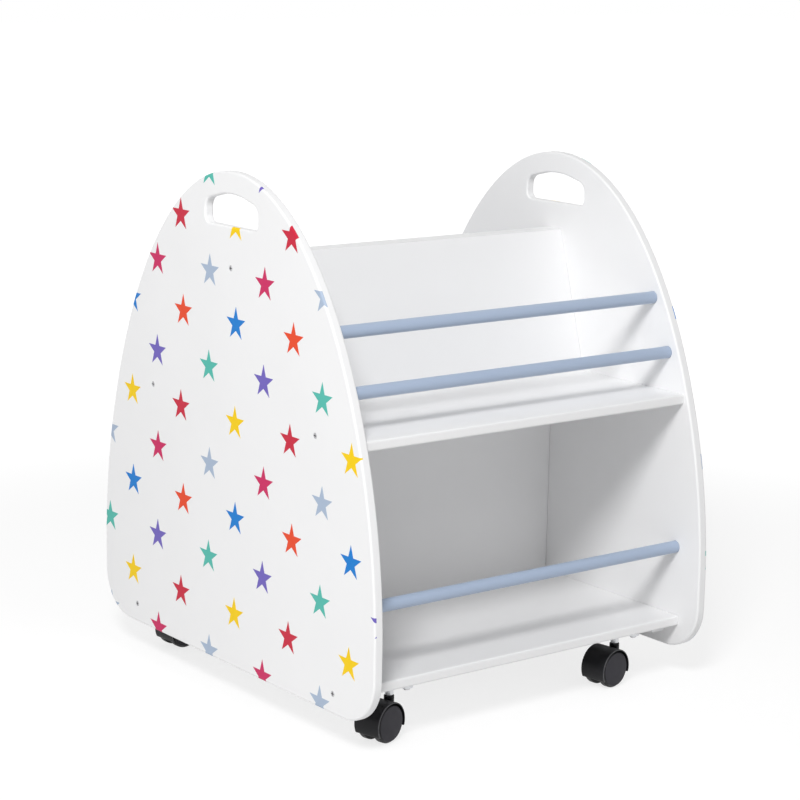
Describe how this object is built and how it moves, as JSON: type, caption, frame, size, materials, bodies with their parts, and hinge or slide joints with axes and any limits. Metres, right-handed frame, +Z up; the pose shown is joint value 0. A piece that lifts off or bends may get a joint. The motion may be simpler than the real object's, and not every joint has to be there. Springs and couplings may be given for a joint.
{
  "type": "rolling bookcase",
  "caption": "Rolling double-sided bookcase for children: arched end panels with hand holes, a display shelf with leaning boards, a lower bay, guard rods and twin-wheel castors.",
  "frame": {"origin": "centre of the bounding box in X and Y, on the floor that the wheels stand on", "axes": "+X along the shelves from the left end panel to the right one, -Y the front, +Z up"},
  "size_m": [0.5, 0.572, 0.6265],
  "materials": {
    "white_board": "painted board, satin white; the outer face of each end panel carries a print of small coloured stars",
    "rod_paint": "painted round rod, satin grey-blue",
    "black_plastic": "moulded black plastic, slightly glossy",
    "wheel_plastic": "moulded dark grey plastic, satin",
    "zinc_steel": "zinc-plated steel",
    "screw_steel": "zinc-plated steel screw"
  },
  "bodies": {
    "carcass": {"end_panel_left": "white_board", "end_panel_right": "white_board", "bottom_shelf": "white_board", "middle_shelf": "white_board", "divider": "white_board", "display_board_front": "white_board", "display_board_back": "white_board", "ridge_rail": "white_board", "cleat_left": "white_board", "cleat_right": "white_board", "rod_upper_front": "rod_paint", "rod_upper_back": "rod_paint", "rod_second_front": "rod_paint", "rod_second_back": "rod_paint", "rod_lower_front": "rod_paint", "rod_lower_back": "rod_paint", "screw_left_ridge": "screw_steel", "screw_left_shelf_front": "screw_steel", "screw_left_shelf_back": "screw_steel", "screw_left_cleat_front": "screw_steel", "screw_left_cleat_back": "screw_steel", "screw_right_ridge": "screw_steel", "screw_right_shelf_front": "screw_steel", "screw_right_shelf_back": "screw_steel", "screw_right_cleat_front": "screw_steel", "screw_right_cleat_back": "screw_steel", "castor_front_left_flange": "zinc_steel", "castor_front_left_pin": "zinc_steel", "castor_front_left_screw_front": "screw_steel", "castor_front_left_screw_back": "screw_steel", "castor_front_right_flange": "zinc_steel", "castor_front_right_pin": "zinc_steel", "castor_front_right_screw_front": "screw_steel", "castor_front_right_screw_back": "screw_steel", "castor_back_left_flange": "zinc_steel", "castor_back_left_pin": "zinc_steel", "castor_back_left_screw_front": "screw_steel", "castor_back_left_screw_back": "screw_steel", "castor_back_right_flange": "zinc_steel", "castor_back_right_pin": "zinc_steel", "castor_back_right_screw_front": "screw_steel", "castor_back_right_screw_back": "screw_steel"},
    "castor_front_left": {"castor_front_left_hood": "black_plastic", "castor_front_left_axle": "zinc_steel"},
    "castor_front_left_wheel_front": {"castor_front_left_wheel_front": "wheel_plastic"},
    "castor_front_left_wheel_back": {"castor_front_left_wheel_back": "wheel_plastic"},
    "castor_front_right": {"castor_front_right_hood": "black_plastic", "castor_front_right_axle": "zinc_steel"},
    "castor_front_right_wheel_front": {"castor_front_right_wheel_front": "wheel_plastic"},
    "castor_front_right_wheel_back": {"castor_front_right_wheel_back": "wheel_plastic"},
    "castor_back_left": {"castor_back_left_hood": "black_plastic", "castor_back_left_axle": "zinc_steel"},
    "castor_back_left_wheel_front": {"castor_back_left_wheel_front": "wheel_plastic"},
    "castor_back_left_wheel_back": {"castor_back_left_wheel_back": "wheel_plastic"},
    "castor_back_right": {"castor_back_right_hood": "black_plastic", "castor_back_right_axle": "zinc_steel"},
    "castor_back_right_wheel_front": {"castor_back_right_wheel_front": "wheel_plastic"},
    "castor_back_right_wheel_back": {"castor_back_right_wheel_back": "wheel_plastic"}
  },
  "joints": [
    {"name": "castor_front_left_swivel", "type": "hinge", "parent": "carcass", "child": "castor_front_left", "pos_m": [-0.1725, -0.2115, 0.05], "axis": [0, 0, 1], "continuous": true},
    {"name": "castor_front_left_wheel_front_spin", "type": "hinge", "parent": "castor_front_left", "child": "castor_front_left_wheel_front", "pos_m": [-0.1884, -0.21591, 0.023], "axis": [-0.2672, 0.9636, 0], "continuous": true},
    {"name": "castor_front_left_wheel_back_spin", "type": "hinge", "parent": "castor_front_left", "child": "castor_front_left_wheel_back", "pos_m": [-0.1884, -0.21591, 0.023], "axis": [-0.2672, 0.9636, 0], "continuous": true},
    {"name": "castor_front_right_swivel", "type": "hinge", "parent": "carcass", "child": "castor_front_right", "pos_m": [0.1725, -0.2115, 0.05], "axis": [0, 0, 1], "continuous": true},
    {"name": "castor_front_right_wheel_front_spin", "type": "hinge", "parent": "castor_front_right", "child": "castor_front_right_wheel_front", "pos_m": [0.1562, -0.21408, 0.023], "axis": [-0.1564, 0.9877, 0], "continuous": true},
    {"name": "castor_front_right_wheel_back_spin", "type": "hinge", "parent": "castor_front_right", "child": "castor_front_right_wheel_back", "pos_m": [0.1562, -0.21408, 0.023], "axis": [-0.1564, 0.9877, 0], "continuous": true},
    {"name": "castor_back_left_swivel", "type": "hinge", "parent": "carcass", "child": "castor_back_left", "pos_m": [-0.1725, 0.2115, 0.05], "axis": [0, 0, 1], "continuous": true},
    {"name": "castor_back_left_wheel_front_spin", "type": "hinge", "parent": "castor_back_left", "child": "castor_back_left_wheel_front", "pos_m": [-0.18891, 0.20978, 0.023], "axis": [-0.1045, 0.9945, 0], "continuous": true},
    {"name": "castor_back_left_wheel_back_spin", "type": "hinge", "parent": "castor_back_left", "child": "castor_back_left_wheel_back", "pos_m": [-0.18891, 0.20978, 0.023], "axis": [-0.1045, 0.9945, 0], "continuous": true},
    {"name": "castor_back_right_swivel", "type": "hinge", "parent": "carcass", "child": "castor_back_right", "pos_m": [0.1725, 0.2115, 0.05], "axis": [0, 0, 1], "continuous": true},
    {"name": "castor_back_right_wheel_front_spin", "type": "hinge", "parent": "castor_back_right", "child": "castor_back_right_wheel_front", "pos_m": [0.156, 0.2115, 0.023], "axis": [0, 1, 0], "continuous": true},
    {"name": "castor_back_right_wheel_back_spin", "type": "hinge", "parent": "castor_back_right", "child": "castor_back_right_wheel_back", "pos_m": [0.156, 0.2115, 0.023], "axis": [0, 1, 0], "continuous": true}
  ]
}
